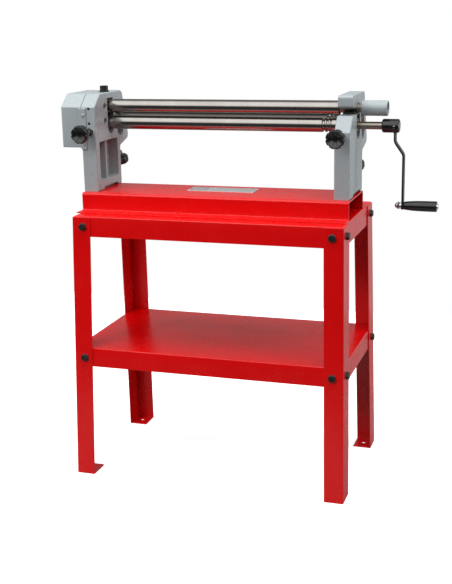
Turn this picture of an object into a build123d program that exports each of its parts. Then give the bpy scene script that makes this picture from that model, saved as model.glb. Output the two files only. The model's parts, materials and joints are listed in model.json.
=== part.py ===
from build123d import *
import math
import os

# Three-roll bending rolls (slip roll) for 610 mm sheet, on a folded sheet stand.
# Frame: origin on the floor midway between the four foot holes; +X along the rolls towards the
# crank, +Y towards the back of the machine, +Z up. Millimetres.

# ---- stand -------------------------------------------------------------------------------------
STAND_H = 734.0             # top surface of the top tray
STAND_TOP_W = 745.0         # over the legs, at the top
STAND_TOP_D = 382.0
STAND_FOOT_W = 767.0        # over the legs, on the floor
STAND_FOOT_D = 452.0
LEG_TOP = 731.0
LEG_FACE = 52.0             # leg width seen from the front
LEG_SIDE = 67.0             # leg width seen from the end
LEG_T = 2.5
FOOT_HOLE_R = 6.0
FOOT_HOLE_IN_X = 27.0       # hole centre, inwards from the leg's outer faces
FOOT_HOLE_IN_Y = 32.0
TRAY_T = 2.0
TRAY_SKIRT = 55.0
SHELF_Z = 369.0
SHELF_SKIRT = 53.0
STAND_FIT = 0.1             # gap between a leg and the tray it laps
BOLT_Z = (706.0, 341.0)
BOLT_IN_X = 30.0            # bolt centre, inwards from the leg's outer corner
BOLT_IN_Y = 34.0

# ---- base channel ------------------------------------------------------------------------------
BASE_X = (-378.5, 368.0)
BASE_TOP = 784.0
BASE_T = 3.0
WEB_FRONT = -110.0
WEB_BACK = 76.0
FLANGE_FRONT = -149.0
FLANGE_BACK = 115.0
BASE_BEND_R = 6.0
BASE_BOLTS = tuple((x, y) for x in (-300.0, 300.0) for y in (-131.0, 97.0))

# ---- end frames --------------------------------------------------------------------------------
LEFT_OUT, LEFT_IN = -381.0, -339.0
RIGHT_IN, RIGHT_OUT = 323.5, 365.0
LEFT_AXIS, RIGHT_AXIS = -357.0, 340.0     # planes of the adjusting screws
FRAME_FRONT = -88.0
FRAME_BACK = 76.0
LEFT_TOP = 1048.0
RIGHT_TOP = 996.0
TILT = 15.0                 # rear slot leans forward by this many degrees
SIN_T = math.sin(math.radians(TILT))
COS_T = math.cos(math.radians(TILT))
SLOT_W = 40.0
SLOT_R = SLOT_W / 2
SLOT_LOW_Z = 954.0          # centre of the left front slot's round bottom
RIGHT_SLOT_LOW_Z = 950.0
REAR_SLOT_L = 62.0
REAR_EDGE = 136.0           # y of the castings' back edge at the height of REAR_EDGE_Z
REAR_EDGE_Z = 925.0
REAR_LOW = (83.0, 941.0)    # centre of the rear slot's round bottom, (y, z)

# ---- rolls -------------------------------------------------------------------------------------
ROLL_R = 19.0
ROLL_L, ROLL_RT = -327.0, 316.0
ROLL_Y = 18.0
TOP_Z = 1010.0
LOW_Z = 965.0
LOW_LIFT = 6.0
REAR_S = 28.0               # rear roll's place along its slot
REAR_Y = REAR_LOW[0] - REAR_S * SIN_T
REAR_Z = REAR_LOW[1] + REAR_S * COS_T
REAR_BLOCK_LOW = 12.0       # centre of the rear bearing block's round bottom, along its slot
JOURNAL_R = 10.0
TOP_JOURNAL_R = 12.5
WIRE_GROOVES = ((275.0, 4.0), (285.5, 3.3), (295.0, 2.6))
RUN = 0.05                  # radial clearance of a running fit
BLOCK_IN = 6.0              # bearing blocks stand back from the frame's inner face
BLOCK_W = 34.0
BUSH_R = 13.0

# ---- gears -------------------------------------------------------------------------------------
MODULE = 2.0
ROLL_TEETH = 17
IDLER_TEETH = 20
GEAR_X = (-409.0, -393.0)
BACKLASH = 0.25
IDLER_Y = ROLL_Y - MODULE * (ROLL_TEETH + IDLER_TEETH) / 2
IDLER_HIGH_Z = TOP_Z
IDLER_LOW_Z = TOP_Z - MODULE * IDLER_TEETH
IDLER_SHAFT_R = 10.0

# ---- top cap, clamp and adjusters --------------------------------------------------------------
CAP_PIN = (98.0, 1014.0)
CAP_PIN_R = 5.0
CLAMP_X = -355.5
BALL_X = -351.0
BEARING_IN = -363.0          # inner end of the top gear's bearing
BALL_R = 15.0
KNOB_Z = 948.0              # height of the two front adjusting screws
FRONT_KNOB_Y = -121.0       # neck end of the front knobs
SCREW_R = 6.0
PLUNGER_TIP = 14.0
REAR_KNOB_S = -71.0         # top of the rear knobs, measured along the rear slot

# ---- crank -------------------------------------------------------------------------------------
HUB_X = (428.0, 473.0)
HUB_R = 17.8
ARM_W = 22.0
ARM_T = 5.0
ARM_TOP_X = 462.0
ARM_LOW_X = 485.0
GRIP_Z = 757.0


def half_w(z):
    return (STAND_FOOT_W + (STAND_TOP_W - STAND_FOOT_W) * z / STAND_H) / 2


def half_d(z):
    return (STAND_FOOT_D + (STAND_TOP_D - STAND_FOOT_D) * z / STAND_H) / 2


def face_at(points):
    return make_face(Polyline(*points, close=True))


def prism_x(points, x0, x1):
    """Solid between two X values from (y, z) or (y, z, corner radius) points."""
    flat = face_at([(x0, p[0], p[1]) for p in points]).face()
    for p in points:
        if len(p) > 2 and p[2] > 0:
            corner = min(flat.vertices(), key=lambda v: (v.Y - p[0]) ** 2 + (v.Z - p[1]) ** 2)
            flat = flat.fillet_2d(p[2], [corner])
    return extrude(flat, amount=x1 - x0, dir=(1, 0, 0))


def cyl_x(x0, x1, r, y, z):
    return Pos((x0 + x1) / 2, y, z) * Rot(0, 90, 0) * Cylinder(r, x1 - x0)


def cyl_y(y0, y1, r, x, z):
    return Pos(x, (y0 + y1) / 2, z) * Rot(-90, 0, 0) * Cylinder(r, y1 - y0)


def cyl_z(z0, z1, r, x, y):
    return Pos(x, y, (z0 + z1) / 2) * Cylinder(r, z1 - z0)


def box(x0, x1, y0, y1, z0, z1):
    return Pos((x0 + x1) / 2, (y0 + y1) / 2, (z0 + z1) / 2) * Box(x1 - x0, y1 - y0, z1 - z0)


def turned(profile):
    """Solid of revolution about +Z from (r, z) points."""
    return revolve(face_at([(r, 0, z) for r, z in profile]), Axis.Z)


def turned_x(profile, y, z):
    """Solid of revolution about a line along X from (r, x) points."""
    return Pos(0, y, z) * Rot(0, 90, 0) * turned(profile)


def hexagon(across, height):
    flat = RegularPolygon(across / 2 / math.cos(math.pi / 6), 6)
    body = extrude(flat, amount=height)
    crown = turned([(0, 0), (across / 2 * 1.16, 0), (across / 2 * 1.16, height * 0.8),
                    (across / 2 * 0.97, height), (0, height)])
    return body & crown


def rear(local):
    """Places a piece drawn at the rear slot's lower centre, with local Z up the slot."""
    return Pos(0, REAR_LOW[0], REAR_LOW[1]) * Rot(TILT, 0, 0) * local


def group(pieces):
    return Compound(children=[p.solid() if not isinstance(p, Solid) else p for p in pieces])


# ------------------------------------------------------------------------------------- the stand
def leg(sx, sy):
    def section(z):
        x, y = sx * half_w(z), sy * half_d(z)
        points = [(x, y), (x - sx * LEG_FACE, y), (x - sx * LEG_FACE, y - sy * LEG_T),
                  (x - sx * LEG_T, y - sy * LEG_T), (x - sx * LEG_T, y - sy * LEG_SIDE),
                  (x, y - sy * LEG_SIDE)]
        return face_at([(px, py, z) for px, py in points])

    body = loft([section(0), section(LEG_TOP)], ruled=True)
    x, y = sx * half_w(0), sy * half_d(0)
    foot = box(min(x, x - sx * LEG_FACE), max(x, x - sx * LEG_FACE),
               min(y, y - sy * (LEG_SIDE - 2)), max(y, y - sy * (LEG_SIDE - 2)), 0, LEG_T)
    outside = loft([face_at([(sx * half_w(z) * a, sy * half_d(z) * b, z)
                             for a, b in ((0, 0), (1, 0), (1, 1), (0, 1))])
                    for z in (0, 20)], ruled=True)
    body = body + (foot & outside)
    corner = min(body.edges(), key=lambda e: ((e @ 0.5) - Vector(sx * half_w(LEG_TOP / 2),
                                                                 sy * half_d(LEG_TOP / 2),
                                                                 LEG_TOP / 2)).length)
    body = fillet(corner, 2.2)
    hole = Pos(sx * (half_w(0) - FOOT_HOLE_IN_X), sy * (half_d(0) - FOOT_HOLE_IN_Y), 0)
    body -= hole * Cylinder(FOOT_HOLE_R, 20)
    for plane in leg_bolt_planes(sx, sy):
        body -= plane * Cylinder(5.3, 30)
    return body


def leg_bolt_planes(sx, sy):
    """Seats of one leg's four bolts: origin on the leg's outer face, Z pointing outwards."""
    lean_x = (STAND_FOOT_W - STAND_TOP_W) / 2 / STAND_H
    lean_y = (STAND_FOOT_D - STAND_TOP_D) / 2 / STAND_H
    planes = []
    for z in BOLT_Z:
        planes.append(Plane((sx * (half_w(z) - BOLT_IN_X), sy * half_d(z), z),
                            x_dir=(1, 0, 0), z_dir=(0, sy, lean_y)))
        planes.append(Plane((sx * half_w(z), sy * (half_d(z) - BOLT_IN_Y), z),
                            x_dir=(0, 1, 0), z_dir=(sx, 0, lean_x)))
    return planes


CORNERS = ((-1, -1), (1, -1), (-1, 1), (1, 1))


def tray(top, skirt):
    """Folded tray with its skirt following the taper of the legs."""
    def frustum(z0, z1, inset):
        sections = []
        for z in (z0, z1):
            w, d = half_w(z) - inset, half_d(z) - inset
            sections.append(face_at([(-w, -d, z), (w, -d, z), (w, d, z), (-w, d, z)]))
        return loft(sections, ruled=True)

    inset = LEG_T + STAND_FIT
    outer = frustum(top - skirt, top, inset)
    outer = fillet(outer.edges().filter_by(lambda e: (e @ 0.5).Z > top - 1), 3.0)
    body = outer - frustum(top - skirt - 5, top - TRAY_T, inset + TRAY_T)
    for sx, sy in CORNERS:
        for plane in leg_bolt_planes(sx, sy):
            body -= plane * Cylinder(5.3, 30)
    return body


def stand_top():
    body = tray(STAND_H, TRAY_SKIRT)
    for x, y in BASE_BOLTS:
        body -= Pos(x, y, STAND_H) * Cylinder(4.4, 20)
    return body


def stand_bolt():
    head = Pos(0, 0, 2.0) * hexagon(17.0, 6.4)
    washer = turned([(0, 0), (10.5, 0), (10.5, 1.4), (9.6, 2.0), (0, 2.0)])
    shank = Pos(0, 0, -9) * Cylinder(5.0, 18)
    tip = Pos(0, 0, -18) * Cylinder(4.2, 1.0)
    return head + washer + shank + tip


def stand_nut():
    seat = LEG_T + STAND_FIT + TRAY_T + 0.05
    nut = Pos(0, 0, -seat - 8.0) * hexagon(17.0, 8.0)
    return nut - Cylinder(5.02, 60)


# ------------------------------------------------------------------------------- the base channel
FRAME_BOLTS = tuple((x, y) for x in (LEFT_AXIS, RIGHT_AXIS) for y in (-67.0, 58.0))


def base_channel():
    z0, z1 = STAND_H + 0.05, STAND_H + BASE_T
    r = BASE_BEND_R
    outline = [(FLANGE_FRONT, z0), (WEB_FRONT + BASE_T, z0, r - BASE_T + 2),
               (WEB_FRONT + BASE_T, BASE_TOP - BASE_T, r - BASE_T),
               (WEB_BACK - BASE_T, BASE_TOP - BASE_T, r - BASE_T),
               (WEB_BACK - BASE_T, z0, r - BASE_T + 2), (FLANGE_BACK, z0), (FLANGE_BACK, z1),
               (WEB_BACK, z1, 2.0), (WEB_BACK, BASE_TOP, r), (WEB_FRONT, BASE_TOP, r),
               (WEB_FRONT, z1, 2.0), (FLANGE_FRONT, z1)]
    body = prism_x(outline, *BASE_X)
    for x, y in BASE_BOLTS:
        body -= Pos(x, y, STAND_H) * Cylinder(4.05, 20)
    for x, y in FRAME_BOLTS:
        body -= Pos(x, y, BASE_TOP) * Cylinder(6.6, 20)
    return body


def base_bolt(x, y):
    """Goes up through the tray into the channel's tapped flange."""
    under = STAND_H - TRAY_T
    head = Pos(x, y, under - 5.3) * hexagon(13.0, 5.3)
    return head + cyl_z(under - 0.01, STAND_H + BASE_T - 0.3, 4.0, x, y)


def frame_bolt(x, y):
    under = BASE_TOP - BASE_T
    washer = cyl_z(under - 2.5, under - 0.02, 12.0, x, y)
    head = Pos(x, y, under - 10.0) * hexagon(19.0, 7.6)
    return head + washer + cyl_z(under - 2.5, BASE_TOP + 20.0, 6.0, x, y)


def label_plate():
    plate = box(-104, 86, -21, 41, BASE_TOP + 0.02, BASE_TOP + 1.0)
    plate = fillet(plate.edges().filter_by(Axis.Z), 3.0)
    for x in (-99.0, 81.0):
        for y in (-16.0, 36.0):
            plate += Pos(x, y, BASE_TOP + 1.0) * turned([(0, 0), (2.2, 0), (1.6, 0.7), (0, 1.0)])
    return plate


# --------------------------------------------------------------------------------- the end frames
def rear_edge_y(z):
    """The castings' back edge is parallel to the rear slot."""
    return REAR_EDGE - math.tan(math.radians(TILT)) * (z - REAR_EDGE_Z)


def frame_profile(front_top, slope_y, top, rear_r):
    join_z = 892.0
    t = math.tan(math.radians(TILT))
    ear_y = (REAR_EDGE - t * (join_z - REAR_EDGE_Z - t * FRAME_BACK)) / (1 + t * t)
    ear_z = join_z + t * (ear_y - FRAME_BACK)
    return [(FRAME_FRONT, BASE_TOP + 0.02), (FRAME_FRONT, front_top, 4.0), (slope_y, top, 5.0),
            (rear_edge_y(top), top, rear_r), (ear_y, ear_z, 16.0),
            (FRAME_BACK, join_z, 8.0), (FRAME_BACK, BASE_TOP + 0.02)]


def casting(profile, x0, x1, inner_is_high_x):
    body = prism_x(profile, x0, x1)
    body = chamfer(body.faces().sort_by(Axis.X)[-1].edges(), 2.0)
    body = chamfer(body.faces().sort_by(Axis.X)[0].edges(), 2.0)
    for a, b in ((x0 - 1, x0 + 12), (x1 - 12, x1 + 1)):
        body -= prism_x([(-49, BASE_TOP - 1), (-41, BASE_TOP + 8), (45, BASE_TOP + 8),
                         (53, BASE_TOP - 1)], a, b)
    depth = 28.0
    rib_back = 4.0
    if inner_is_high_x:
        w0, w1, r0, r1 = x1 - depth, x1 + 1, x1 - depth, x1 - rib_back
    else:
        w0, w1, r0, r1 = x0 - 1, x0 + depth, x0 + rib_back, x0 + depth
    window = prism_x([(-66, 812, 5), (-66, 918, 5), (56, 918, 5), (56, 812, 5)], w0, w1)
    body -= window
    body += box(r0, r1, -19.5, -12.5, 811, 919)
    return body


def front_slot(x0, x1, low, top):
    slot = box(x0, x1, ROLL_Y - SLOT_R, ROLL_Y + SLOT_R, low, top)
    return slot + cyl_x(x0, x1, SLOT_R, ROLL_Y, low)


def rear_slot(x0, x1):
    slot = box(x0, x1, -SLOT_R, SLOT_R, 0, REAR_SLOT_L) + cyl_x(x0, x1, SLOT_R, 0, 0)
    return rear(slot)


def adjuster_bores(mid):
    front = cyl_y(FRAME_FRONT - 5, ROLL_Y - 15, SCREW_R + RUN, mid, KNOB_Z)
    back = rear(cyl_z(-90, -10, SCREW_R + RUN, mid, 0))
    feet = [cyl_z(BASE_TOP - 5, BASE_TOP + 22, SCREW_R + 0.02, mid, y)
            for x, y in FRAME_BOLTS if x == mid]
    return [front, back] + feet


def left_frame():
    body = casting(frame_profile(1015.0, -48.0, LEFT_TOP, 20.0), LEFT_OUT, LEFT_IN, True)
    x0, x1 = LEFT_OUT - 1, LEFT_IN + 1
    body -= front_slot(x0, x1, SLOT_LOW_Z, 1032.0)
    body -= rear_slot(x0, x1)
    for cut in adjuster_bores(LEFT_AXIS):
        body -= cut
    for z in (IDLER_LOW_Z, IDLER_HIGH_Z):
        body -= cyl_x(x0, x1, IDLER_SHAFT_R + 0.02, IDLER_Y, z)
        body -= cyl_y(FRAME_FRONT - 5, IDLER_Y, 4.0, LEFT_AXIS, z)
    body -= cyl_z(1030, LEFT_TOP + 5, SCREW_R + 0.1, CLAMP_X, ROLL_Y)
    for z in COVER_SCREW_Z:
        body -= cyl_y(FRAME_FRONT - 5, FRAME_FRONT + 12, 2.5, COVER_SCREW_X, z)
    return body


def right_frame():
    body = casting(frame_profile(957.0, -54.0, RIGHT_TOP, 4.0), RIGHT_IN, RIGHT_OUT, False)
    lug = prism_x([(99.5, RIGHT_TOP - 3), (108, RIGHT_TOP - 3), (106.5, CAP_PIN[1] + 3),
                   (94, CAP_PIN[1] - 9)], 336, 352)
    lug += cyl_x(336, 352, 10.0, *CAP_PIN)
    body += lug
    x0, x1 = RIGHT_IN - 1, RIGHT_OUT + 1
    body -= front_slot(x0, x1, RIGHT_SLOT_LOW_Z, RIGHT_TOP + 5)
    body -= rear_slot(x0, x1)
    body -= cyl_x(x0, x1, CAP_PIN_R + 0.02, *CAP_PIN)
    for cut in adjuster_bores(RIGHT_AXIS):
        body -= cut
    return body


# ---------------------------------------------------------------------------------- the gear cover
COVER_OUT = -439.0
COVER_WALL = 3.5
COVER_SCREW_X = LEFT_OUT + 8.4
COVER_SCREW_Z = (993.0, 916.0)


def gear_cover():
    def shape(inset, x0, x1):
        return prism_x([(FRAME_FRONT + inset, 905 + inset, 3),
                        (FRAME_FRONT + inset, 1015 - inset * 0.4, 4),
                        (-48 + inset * 0.4, LEFT_TOP - inset, 8),
                        (96 - inset, LEFT_TOP - inset, 16), (108 - inset, 1010, 10),
                        (108 - inset, 905 + inset, 8)], x0, x1)

    outer = shape(0, COVER_OUT, LEFT_OUT - 0.1)
    outer = fillet(outer.faces().sort_by(Axis.X)[0].edges(), 2.5)
    body = outer - shape(COVER_WALL, COVER_OUT + COVER_WALL, LEFT_OUT + 1)
    tab = box(LEFT_OUT - 5, LEFT_OUT + 16, FRAME_FRONT - 3.6, FRAME_FRONT - 0.1, 900, 1012)
    tab = chamfer(tab.faces().sort_by(Axis.Y)[0].edges(), 1.0)
    step = box(LEFT_OUT - 5, LEFT_OUT - 0.1, FRAME_FRONT - 0.2, FRAME_FRONT + 2, 908, 1010)
    body += tab + step
    body -= box(LEFT_OUT - 6, LEFT_OUT, FRAME_FRONT - 5, FRAME_FRONT - 0.05, 899, 905)
    body -= cyl_y(FRAME_FRONT - 10, FRAME_FRONT, 12.5, LEFT_AXIS, KNOB_Z)
    for z in COVER_SCREW_Z:
        body -= cyl_y(FRAME_FRONT - 10, FRAME_FRONT, 2.7, COVER_SCREW_X, z)
    return body


def cover_screw(z):
    y = FRAME_FRONT - 3.6
    dome = turned([(0, 0), (4.75, 0), (4.5, 1.4), (3.4, 2.4), (0, 2.8)])
    dome -= Pos(0, 0, 2.4) * Box(7, 1.1, 2.0)
    dome = Pos(COVER_SCREW_X, y, z) * Rot(90, 0, 0) * dome
    return dome + cyl_y(y - 0.01, FRAME_FRONT + 11, 2.48, COVER_SCREW_X, z)


# ------------------------------------------------------------------------------------- the gears
def involute(r, base):
    return math.sqrt((r / base) ** 2 - 1) - math.acos(base / r)


def gear(teeth, phase, y, z, bore):
    """Spur gear about X; phase is the angle from +Y towards +Z of one tooth's middle."""
    pitch = MODULE * teeth / 2
    base = pitch * math.cos(math.radians(20))
    tip, root = pitch + MODULE, pitch - 1.25 * MODULE
    half = math.pi / (2 * teeth) - BACKLASH / (2 * pitch)
    low = max(base + 0.02, root + 0.4)
    radii = [low + (tip - low) * k / 4 for k in range(5)]
    flank = [(r, half + involute(pitch, base) - involute(r, base)) for r in radii]
    flank = [(root, flank[0][1] + 0.02)] + flank
    points = []
    for n in range(teeth):
        mid = math.radians(phase) + 2 * math.pi * n / teeth
        for r, a in flank:
            points.append((r * math.cos(mid - a), r * math.sin(mid - a)))
        for r, a in reversed(flank):
            points.append((r * math.cos(mid + a), r * math.sin(mid + a)))
    body = prism_x([(y + p, z + q) for p, q in points], *GEAR_X)
    body += cyl_x(GEAR_X[1] - 0.1, GEAR_X[1] + 5, bore + 4.5, y, z)
    return body - cyl_x(GEAR_X[0] - 1, GEAR_X[1] + 9, bore, y, z)


def mesh_phase(phase, teeth, place, other_teeth, other_place):
    """Phase that puts a gear's gap over its neighbour's tooth."""
    line = math.degrees(math.atan2(other_place[1] - place[1], other_place[0] - place[0]))
    return line + 180 - (phase - line) * teeth / other_teeth + 180 / other_teeth


LOW_AT = (ROLL_Y, LOW_Z)
IDLER_LOW_AT = (IDLER_Y, IDLER_LOW_Z)
IDLER_HIGH_AT = (IDLER_Y, IDLER_HIGH_Z)
TOP_AT = (ROLL_Y, TOP_Z)
LOW_PHASE = math.degrees(math.atan2(IDLER_LOW_Z - LOW_Z, IDLER_Y - ROLL_Y))
IDLER_LOW_PHASE = mesh_phase(LOW_PHASE, ROLL_TEETH, LOW_AT, IDLER_TEETH, IDLER_LOW_AT)
IDLER_HIGH_PHASE = mesh_phase(IDLER_LOW_PHASE, IDLER_TEETH, IDLER_LOW_AT,
                              IDLER_TEETH, IDLER_HIGH_AT)
TOP_PHASE = mesh_phase(IDLER_HIGH_PHASE, IDLER_TEETH, IDLER_HIGH_AT, ROLL_TEETH, TOP_AT)


def idler_shaft(z):
    shaft = turned_x([(0, GEAR_X[0] - 5), (IDLER_SHAFT_R - 0.8, GEAR_X[0] - 5),
                      (IDLER_SHAFT_R, GEAR_X[0] - 4.2), (IDLER_SHAFT_R, GEAR_X[0] - 3.2),
                      (IDLER_SHAFT_R - 0.8, GEAR_X[0] - 3.2),
                      (IDLER_SHAFT_R - 0.8, GEAR_X[0] - 1.6), (IDLER_SHAFT_R, GEAR_X[0] - 1.6),
                      (IDLER_SHAFT_R, LEFT_IN - 13), (IDLER_SHAFT_R - 1, LEFT_IN - 12),
                      (0, LEFT_IN - 12)], IDLER_Y, z)
    return shaft


def idler_clip(z):
    ring = cyl_x(GEAR_X[0] - 3.1, GEAR_X[0] - 1.7, 13.0, IDLER_Y, z)
    ring -= cyl_x(GEAR_X[0] - 4, GEAR_X[0], IDLER_SHAFT_R - 0.78, IDLER_Y, z)
    return ring - box(GEAR_X[0] - 4, GEAR_X[0], IDLER_Y - 3, IDLER_Y + 3, z - 15, z - 5)


def idler_set_screw(z):
    end = IDLER_Y - IDLER_SHAFT_R - 0.05
    screw = cyl_y(end - 14, end, 3.98, LEFT_AXIS, z)
    socket = Pos(LEFT_AXIS, end - 14, z) * Rot(-90, 0, 0) * extrude(RegularPolygon(2.3, 6), 5)
    return screw - socket


# ------------------------------------------------------------------------------- bearings, rolls
def block_x(left):
    if left:
        return LEFT_IN - BLOCK_IN - BLOCK_W, LEFT_IN - BLOCK_IN
    return RIGHT_IN + BLOCK_IN, RIGHT_IN + BLOCK_IN + BLOCK_W


def lower_block(left):
    """Slides up and down in the front slot; its bevel rides on the plunger's cone."""
    x0, x1 = block_x(left)
    y0, y1 = ROLL_Y - SLOT_R + RUN, ROLL_Y + SLOT_R - RUN
    bottom, top = LOW_Z - 17, LOW_Z + 19
    bevel = PLUNGER_TIP + KNOB_Z + 0.45
    half = SLOT_R - 0.3
    body = prism_x([(y0, bevel - y0), (bevel - bottom, bottom),
                    (ROLL_Y + 12, bottom), (y1, LOW_Z - 5), (y1, top, 2), (y0, top, 2)], x0, x1)
    keep = box(x0, x1, y0, y1, SLOT_LOW_Z, top + 1) + cyl_x(x0, x1, half, ROLL_Y, SLOT_LOW_Z)
    return (body & keep) - cyl_x(x0 - 1, x1 + 1, BUSH_R + 0.02, ROLL_Y, LOW_Z)


def rear_block(left):
    x0, x1 = block_x(left)
    half = SLOT_R - RUN
    body = box(x0, x1, -half, half, REAR_BLOCK_LOW, REAR_S + 16)
    body = chamfer(body.edges().filter_by(Axis.X), 2.5)
    body += cyl_x(x0, x1, SLOT_R - 0.3, 0, REAR_BLOCK_LOW)
    body -= cyl_x(x0 - 1, x1 + 1, BUSH_R + 0.02, 0, REAR_S)
    return rear(body)


def bush(x0, x1, y, z, outer=BUSH_R, bore=JOURNAL_R + RUN):
    ring = turned_x([(bore, x0), (outer - 0.5, x0), (outer, x0 + 0.5), (outer, x1 - 0.5),
                     (outer - 0.5, x1), (bore, x1)], y, z)
    return ring


def ball_band(r, half):
    """Ball on the top roll's line, cut flat at both sides."""
    rim = math.sqrt(r * r - half * half)
    outline = ThreePointArc((rim, 0, -half), (r, 0, 0), (rim, 0, half))
    outline += Polyline((rim, 0, half), (0, 0, half), (0, 0, -half), (rim, 0, -half))
    return Pos(BALL_X, ROLL_Y, TOP_Z) * Rot(0, 90, 0) * revolve(make_face(outline), Axis.Z)


def ball_housing():
    x0, x1 = BALL_X - 9.5, BALL_X + 9.5
    body = prism_x([(ROLL_Y - SLOT_R + RUN, 991.5, 2), (ROLL_Y - SLOT_R + RUN, 1029, 2),
                    (ROLL_Y + SLOT_R - RUN, 1029, 2), (ROLL_Y + SLOT_R - RUN, 991.5, 2)], x0, x1)
    return body - ball_band(BALL_R + 0.1, 10.0)


def ball_bush():
    bore = cyl_x(BALL_X - 9, BALL_X + 9, JOURNAL_R + RUN, ROLL_Y, TOP_Z)
    return ball_band(BALL_R, 7.0) - bore


def gear_bearing():
    x0, x1 = LEFT_OUT, BEARING_IN
    body = prism_x([(ROLL_Y - SLOT_R + RUN, 991.5, 2), (ROLL_Y - SLOT_R + RUN, 1029, 2),
                    (ROLL_Y + SLOT_R - RUN, 1029, 2), (ROLL_Y + SLOT_R - RUN, 991.5, 2)], x0, x1)
    return body - cyl_x(x0 - 1, x1 + 1, JOURNAL_R + RUN, ROLL_Y, TOP_Z)


def gear_shaft():
    """Short driven shaft of the top gear, slotted for the top roll's tongue."""
    end = BEARING_IN - 0.5
    shaft = turned_x([(0, GEAR_X[0] - 3), (JOURNAL_R - 1, GEAR_X[0] - 3),
                      (JOURNAL_R, GEAR_X[0] - 2), (JOURNAL_R, end), (0, end)],
                     ROLL_Y, TOP_Z)
    return shaft - box(end - 5.5, end + 0.5, ROLL_Y - 11, ROLL_Y + 11, TOP_Z - 4, TOP_Z + 4)


def roll(y, z, left_end, left_neck, right_end, extra, grooves=()):
    points = [(0, left_end), (JOURNAL_R - 1, left_end), (JOURNAL_R, left_end + 1)]
    if left_neck < ROLL_L:
        points += [(JOURNAL_R, left_neck), (ROLL_R - 3, left_neck), (ROLL_R - 3, ROLL_L)]
    else:
        points += [(JOURNAL_R, ROLL_L)]
    points += [(ROLL_R - 0.8, ROLL_L), (ROLL_R, ROLL_L + 0.8)]
    points += [(ROLL_R, ROLL_RT - 0.8), (ROLL_R - 0.8, ROLL_RT)] + extra
    points += [(0, right_end)]
    body = turned_x(points, y, z)
    for x, r in grooves:
        body -= Pos(x, y, z) * Rot(0, 90, 0) * Torus(ROLL_R + 0.4, r)
    return body


def top_roll():
    start = BEARING_IN + 0.5
    extra = [(TOP_JOURNAL_R, ROLL_RT), (TOP_JOURNAL_R, 368.0), (11.0, 369.5), (11.0, 434.0),
             (10.0, 435.0)]
    body = roll(ROLL_Y, TOP_Z, start, ROLL_L - 9, 435.0, extra)
    return body + box(start - 5, start + 0.1, ROLL_Y - 8, ROLL_Y + 8, TOP_Z - 3, TOP_Z + 3)


def lower_roll():
    extra = [(JOURNAL_R, ROLL_RT), (JOURNAL_R, HUB_X[1] - 1.0), (JOURNAL_R - 1, HUB_X[1])]
    return roll(ROLL_Y, LOW_Z, GEAR_X[0] - 4, ROLL_L, HUB_X[1], extra, WIRE_GROOVES)


def rear_roll():
    extra = [(JOURNAL_R, ROLL_RT), (JOURNAL_R, 357.0), (JOURNAL_R - 1, 358.0)]
    return roll(REAR_Y, REAR_Z, LEFT_OUT + 7, ROLL_L, 358.0, extra, WIRE_GROOVES)


def thrust_washer(x0, x1):
    return bush(x0, x1, ROLL_Y, LOW_Z, 14.0, JOURNAL_R + 0.1)


def top_saddle():
    """Half bearing under the top roll's right journal; its lugs hang on the frame's top."""
    x0, x1 = block_x(False)
    y0, y1 = ROLL_Y - SLOT_R + RUN, ROLL_Y + SLOT_R - RUN
    body = box(x0, x1, y0, y1, 991.5, 1003)
    body += prism_x([(y0 - 10, 996.1, 1), (y0 - 10, 1001, 2), (y0, 1003), (y1, 1003),
                     (y1 + 10, 1001, 2), (y1 + 10, 996.1, 1)], x0, x1)
    return body - cyl_x(x0 - 1, x1 + 1, TOP_JOURNAL_R + 0.08, ROLL_Y, TOP_Z)


def lift_handle():
    """Painted sleeve on the top roll's end, for lifting the roll out with."""
    r = 20.0
    return turned_x([(11.03, 373), (18.0, 373), (r, 375.5), (r, 440), (r - 2.5, 442.5),
                     (16.5, 442.5), (16.5, 433.0), (11.03, 433.0)], ROLL_Y, TOP_Z)


# ----------------------------------------------------------------------------- cap, clamp, pins
def top_cap():
    x0, x1 = 324.0, 364.0
    py, pz = CAP_PIN
    body = prism_x([(-50, 1019, 5), (-50, 1047, 8), (py + 10.5, 1047, 13),
                    (py + 10.5, pz - 10.5, 10.4), (py - 12, pz - 10.5, 6), (py - 20, 1014, 4),
                    (40, 1012), (-4, 1012, 3), (-42, 1015, 6)], x0, x1)
    body = fillet(body.faces().sort_by(Axis.X)[-1].edges(), 2.0)
    body = fillet(body.faces().sort_by(Axis.X)[0].edges(), 2.0)
    body -= cyl_x(x0 - 1, x1 + 1, TOP_JOURNAL_R + 1.5, ROLL_Y, TOP_Z)
    body -= box(335.6, 352.4, py - 14, py + 20, pz - 20, pz + 16)
    return body - cyl_x(x0 - 1, x1 + 1, CAP_PIN_R + RUN, py, pz)


def cap_pin():
    return turned_x([(0, 323.5), (CAP_PIN_R - 0.6, 323.5), (CAP_PIN_R, 324.2),
                     (CAP_PIN_R, 363.8), (CAP_PIN_R - 0.6, 364.5), (0, 364.5)], *CAP_PIN)


def clamp_bolt():
    head = Pos(CLAMP_X, ROLL_Y, LEFT_TOP + 3.1) * hexagon(20.0, 14.5)
    return head + cyl_z(1029.2, LEFT_TOP + 3.2, SCREW_R, CLAMP_X, ROLL_Y)


def clamp_washer():
    ring = cyl_z(LEFT_TOP + 0.05, LEFT_TOP + 3.05, 13.5, CLAMP_X, ROLL_Y)
    return ring - cyl_z(LEFT_TOP - 1, LEFT_TOP + 5, SCREW_R + 0.1, CLAMP_X, ROLL_Y)


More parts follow.
